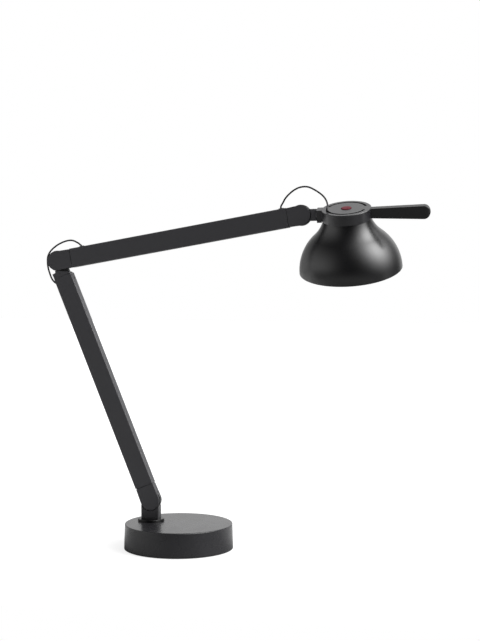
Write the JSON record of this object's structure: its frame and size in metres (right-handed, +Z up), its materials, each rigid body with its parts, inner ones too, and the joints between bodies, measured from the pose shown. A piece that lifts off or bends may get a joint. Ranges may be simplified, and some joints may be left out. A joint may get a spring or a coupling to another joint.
{
  "type": "adjustable desk lamp",
  "caption": "Black desk lamp: weighted round base, swivelling post, flat arms on friction hinges, ring head with a bell shade, a handle and a red push button.",
  "frame": {"origin": "centre of the round face that the lamp rests on", "axes": "+Z up; +X in the plane of the arms, from the base towards the head; +Y to the back, where the cable gland is"},
  "size_m": [0.6426, 0.2097, 0.5951],
  "materials": {
    "base_paint": "satin powder coat",
    "cast_iron": "as cast",
    "steel": "zinc plated",
    "pad": "matt",
    "driver": "moulded",
    "cable": "satin",
    "black_plastic": "moulded",
    "nylon": "turned",
    "flange_coat": "satin powder coat",
    "arm_coat": "satin black powder coat",
    "head_coat": "satin black powder coat",
    "heat_sink": "plain",
    "led_board": "white solder mask",
    "led_chip": "phosphor",
    "opal": "opal, satin",
    "reflector_white": "matt white coat",
    "shade_coat": "satin black powder coat",
    "button_red": "satin"
  },
  "bodies": {
    "base": {"base_cover": "base_paint", "base_weight": "cast_iron", "base_plate": "steel", "base_pad": "pad", "plate_screws": "steel", "driver": "driver", "driver_lead": "cable", "cable_gland": "black_plastic", "gland_nut": "black_plastic", "swivel_bush": "nylon"},
    "post": {"swivel_spindle": "steel", "swivel_flange": "flange_coat", "swivel_washers": "nylon", "swivel_nut": "steel", "post": "arm_coat", "post_lead": "cable"},
    "lower_arm": {"lower_foot_cap": "arm_coat", "lower_tube": "arm_coat", "lower_elbow_cap": "arm_coat", "foot_pin": "steel", "foot_washers": "steel", "lower_lead": "cable", "elbow_lead": "cable"},
    "upper_arm": {"upper_elbow_cap": "arm_coat", "upper_tube": "arm_coat", "upper_head_cap": "arm_coat", "elbow_pin": "steel", "elbow_washers": "steel", "head_pin": "steel", "head_washers": "steel", "upper_grommets": "black_plastic", "upper_lead": "cable", "head_lead": "cable"},
    "neck": {"neck": "arm_coat", "roll_washers": "steel", "roll_screw": "steel"},
    "head": {"ring_collar": "head_coat", "handle": "head_coat", "handle_screw": "steel", "heat_sink": "heat_sink", "head_screws": "steel", "led_board": "led_board", "led_chips": "led_chip", "diffuser": "opal", "reflector": "reflector_white", "shade": "shade_coat", "shade_screws": "steel", "switch_body": "black_plastic", "lead_clip": "nylon", "button_spring": "steel"},
    "button": {"button": "button_red"}
  },
  "joints": [
    {"name": "swivel", "type": "hinge", "parent": "base", "child": "post", "pos_m": [-0.0505, 0.0102, 0.0446], "axis": [0, 0, 1], "range_deg": [-170, 170]},
    {"name": "foot_hinge", "type": "hinge", "parent": "post", "child": "lower_arm", "pos_m": [-0.0505, 0.0102, 0.0758], "axis": [0, 1, 0], "range_deg": [-18, 42]},
    {"name": "elbow_hinge", "type": "hinge", "parent": "lower_arm", "child": "upper_arm", "pos_m": [-0.21209, 0.0102, 0.47374], "axis": [0, -1, 0], "range_deg": [-14, 100], "deforming": ["elbow_lead"]},
    {"name": "head_tilt", "type": "hinge", "parent": "upper_arm", "child": "neck", "pos_m": [0.20288, 0.0102, 0.54766], "axis": [0, 1, 0], "range_deg": [-75, 55], "deforming": ["head_lead"]},
    {"name": "head_roll", "type": "hinge", "parent": "neck", "child": "head", "pos_m": [0.27675, 0.0102, 0.5496], "axis": [0.9997, 0, 0.0262], "range_deg": [-109, 70], "deforming": ["head_lead"]},
    {"name": "button_press", "type": "slide", "parent": "head", "child": "button", "axis": [0.0247, 0.3289, -0.9441], "range_m": [0, 0.001], "stiffness_N_per_m": 1200, "springref_m": -0.0008, "deforming": ["button_spring"]}
  ]
}
